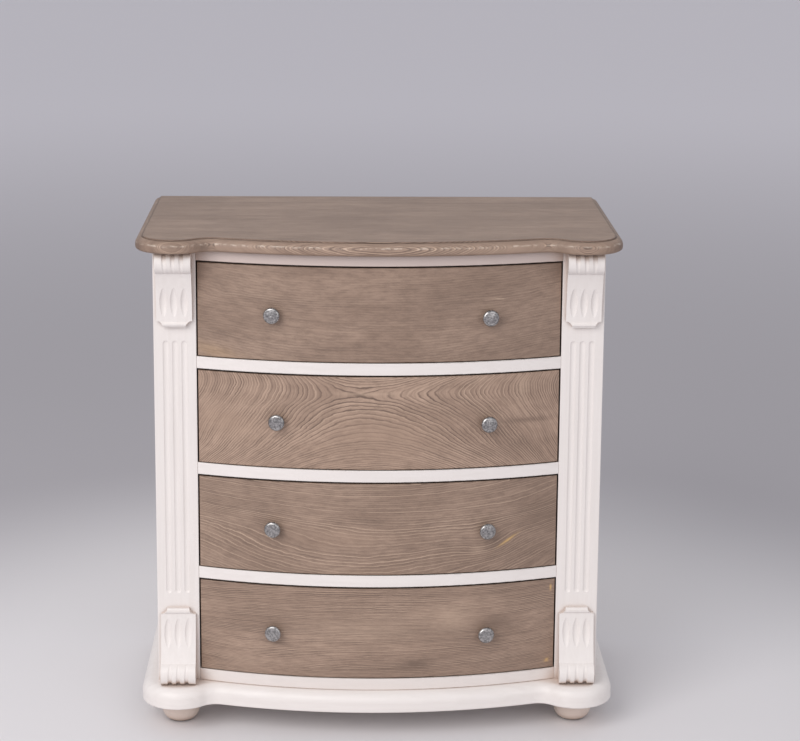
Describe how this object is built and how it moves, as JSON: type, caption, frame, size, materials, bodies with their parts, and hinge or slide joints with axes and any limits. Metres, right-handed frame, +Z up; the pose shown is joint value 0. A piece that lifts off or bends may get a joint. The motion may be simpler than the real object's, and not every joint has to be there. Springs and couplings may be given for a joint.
{
  "type": "chest of drawers",
  "caption": "Painted bow front chest with full-width sliding drawers, a stained serpentine top and drawer fronts, fluted posts with scroll corbels, bun feet and metal knobs.",
  "frame": {"origin": "on the floor under the middle of the overall box of the closed chest", "axes": "+Z up, +X to the right of someone facing the chest, -Y out of the front, the way the drawers open"},
  "size_m": [0.86, 0.4939, 0.913],
  "materials": {
    "ivory_paint": "satin ivory paint over wood, grain faintly showing",
    "stained_wood": "matt grey-brown stain, open grain",
    "plain_wood": "unfinished pale wood",
    "pewter": "dark antique pewter",
    "screw_steel": "zinc plated"
  },
  "bodies": {
    "carcass": {"back_panel": "plain_wood", "bottom_rail": "ivory_paint", "bun_foot_front_left": "ivory_paint", "bun_foot_front_right": "ivory_paint", "bun_foot_rear_left": "ivory_paint", "bun_foot_rear_right": "ivory_paint", "divider_rail_1": "ivory_paint", "divider_rail_2": "ivory_paint", "divider_rail_3": "ivory_paint", "drawer_runners_left": "plain_wood", "drawer_runners_right": "plain_wood", "front_post_left": "ivory_paint", "front_post_right": "ivory_paint", "lower_corbel_left": "ivory_paint", "lower_corbel_right": "ivory_paint", "plinth": "ivory_paint", "rear_post_left": "ivory_paint", "rear_post_right": "ivory_paint", "side_bottom_rail_left": "ivory_paint", "side_bottom_rail_right": "ivory_paint", "side_panel_left": "ivory_paint", "side_panel_right": "ivory_paint", "side_top_rail_left": "ivory_paint", "side_top_rail_right": "ivory_paint", "top_board": "stained_wood", "top_rail": "ivory_paint", "upper_corbel_left": "ivory_paint", "upper_corbel_right": "ivory_paint"},
    "drawer_1": {"drawer_1_back": "plain_wood", "drawer_1_bottom": "plain_wood", "drawer_1_front": "stained_wood", "drawer_1_knob_screws": "screw_steel", "drawer_1_left_knob": "pewter", "drawer_1_left_side": "plain_wood", "drawer_1_right_knob": "pewter", "drawer_1_right_side": "plain_wood"},
    "drawer_2": {"drawer_2_back": "plain_wood", "drawer_2_bottom": "plain_wood", "drawer_2_front": "stained_wood", "drawer_2_knob_screws": "screw_steel", "drawer_2_left_knob": "pewter", "drawer_2_left_side": "plain_wood", "drawer_2_right_knob": "pewter", "drawer_2_right_side": "plain_wood"},
    "drawer_3": {"drawer_3_back": "plain_wood", "drawer_3_bottom": "plain_wood", "drawer_3_front": "stained_wood", "drawer_3_knob_screws": "screw_steel", "drawer_3_left_knob": "pewter", "drawer_3_left_side": "plain_wood", "drawer_3_right_knob": "pewter", "drawer_3_right_side": "plain_wood"},
    "drawer_4": {"drawer_4_back": "plain_wood", "drawer_4_bottom": "plain_wood", "drawer_4_front": "stained_wood", "drawer_4_knob_screws": "screw_steel", "drawer_4_left_knob": "pewter", "drawer_4_left_side": "plain_wood", "drawer_4_right_knob": "pewter", "drawer_4_right_side": "plain_wood"}
  },
  "joints": [
    {"name": "drawer_1_slide", "type": "slide", "parent": "carcass", "child": "drawer_1", "axis": [0, -1, 0], "range_m": [0, 0.28]},
    {"name": "drawer_2_slide", "type": "slide", "parent": "carcass", "child": "drawer_2", "axis": [0, -1, 0], "range_m": [0, 0.28]},
    {"name": "drawer_3_slide", "type": "slide", "parent": "carcass", "child": "drawer_3", "axis": [0, -1, 0], "range_m": [0, 0.28]},
    {"name": "drawer_4_slide", "type": "slide", "parent": "carcass", "child": "drawer_4", "axis": [0, -1, 0], "range_m": [0, 0.28]}
  ]
}
